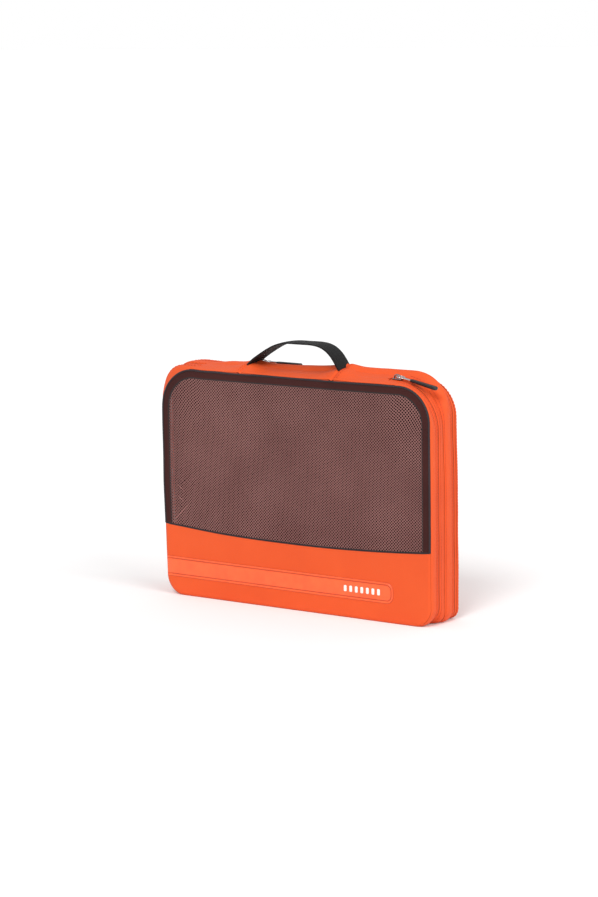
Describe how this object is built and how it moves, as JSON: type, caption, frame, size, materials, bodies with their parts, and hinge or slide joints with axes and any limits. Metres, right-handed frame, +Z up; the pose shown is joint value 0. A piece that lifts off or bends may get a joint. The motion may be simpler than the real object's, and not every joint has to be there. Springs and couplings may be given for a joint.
{
  "type": "packing cube",
  "caption": "Slim upright packing cube with a zipped lid on each face, a mesh window over a plain lower panel, and a webbing handle on top.",
  "frame": {"origin": "middle of the base that the cube stands on", "axes": "+X along the width, +Z up, -Y towards the lid with the mesh window"},
  "size_m": [0.34, 0.057, 0.2826],
  "materials": {
    "orange_cloth": "plain woven polyester, matt",
    "orange_tape": "zip tape, fine rib",
    "orange_coil": "nylon coil",
    "trim_film": "welded film, satin",
    "mark_print": "flat print",
    "mesh_knit": "open knit",
    "hem_cloth": "plain woven, dark brown",
    "piping_cloth": "piping, near black",
    "binding_tape": "grosgrain binding",
    "divider_cloth": "plain lining",
    "webbing": "flat webbing, charcoal",
    "slider_metal": "bright plated",
    "tab_rubber": "moulded rubber, satin"
  },
  "bodies": {
    "case": {"side_gusset": "orange_cloth", "handle_panel": "orange_cloth", "front_zip_tape_case": "orange_tape", "rear_zip_tape_case": "orange_tape", "front_zip_coil_case": "orange_coil", "rear_zip_coil_case": "orange_coil", "zip_end_tabs": "orange_tape", "divider_panel": "divider_cloth", "divider_binding": "binding_tape", "handle_sewn_ends": "webbing"},
    "handle": {"handle_webbing": "webbing"},
    "front_lid": {"mesh_window": "mesh_knit", "mesh_hem": "hem_cloth", "mesh_piping": "piping_cloth", "mesh_edge_binding": "piping_cloth", "front_lower_panel": "orange_cloth", "trim_strip": "trim_film", "trim_mark": "mark_print", "front_lid_strip": "orange_cloth", "front_zip_tape_lid": "orange_tape", "front_zip_coil_lid": "orange_coil", "front_seam_binding": "binding_tape"},
    "rear_lid": {"rear_panel": "orange_cloth", "rear_lid_strip": "orange_cloth", "rear_zip_tape_lid": "orange_tape", "rear_zip_coil_lid": "orange_coil", "rear_seam_binding": "binding_tape"},
    "front_slider": {"front_slider_body": "slider_metal"},
    "front_puller": {"front_pull_ring": "slider_metal", "front_pull_tab": "tab_rubber"},
    "rear_slider": {"rear_slider_body": "slider_metal"},
    "rear_puller": {"rear_pull_ring": "slider_metal", "rear_pull_tab": "tab_rubber"}
  },
  "joints": [
    {"name": "front_lid_fold", "type": "hinge", "parent": "case", "child": "front_lid", "pos_m": [0, -0.0258, 0.2512], "axis": [-1, 0, 0], "range_deg": [0, 180]},
    {"name": "rear_lid_fold", "type": "hinge", "parent": "case", "child": "rear_lid", "pos_m": [0, 0.0276, 0.2525], "axis": [1, 0, 0], "range_deg": [0, 180]},
    {"name": "handle_tilt", "type": "hinge", "parent": "case", "child": "handle", "pos_m": [-0.0095, 0, 0.257], "axis": [1, 0, 0], "range_deg": [-20, 20], "stiffness_Nm_per_rad": 0.05},
    {"name": "front_slider_travel", "type": "hinge", "parent": "case", "child": "front_slider", "pos_m": [0.12, -0.01, 0.203], "axis": [0, 1, 0], "range_deg": [0, 75]},
    {"name": "front_puller_swing", "type": "hinge", "parent": "front_slider", "child": "front_puller", "pos_m": [0.12, -0.01, 0.2568], "axis": [0, -1, 0], "range_deg": [0, 150]},
    {"name": "rear_slider_travel", "type": "slide", "parent": "case", "child": "rear_slider", "axis": [-1, 0, 0], "range_m": [0, 0.049]},
    {"name": "rear_puller_swing", "type": "hinge", "parent": "rear_slider", "child": "rear_puller", "pos_m": [-0.069, 0.0205, 0.2572], "axis": [0, -1, 0], "range_deg": [0, 150]}
  ]
}
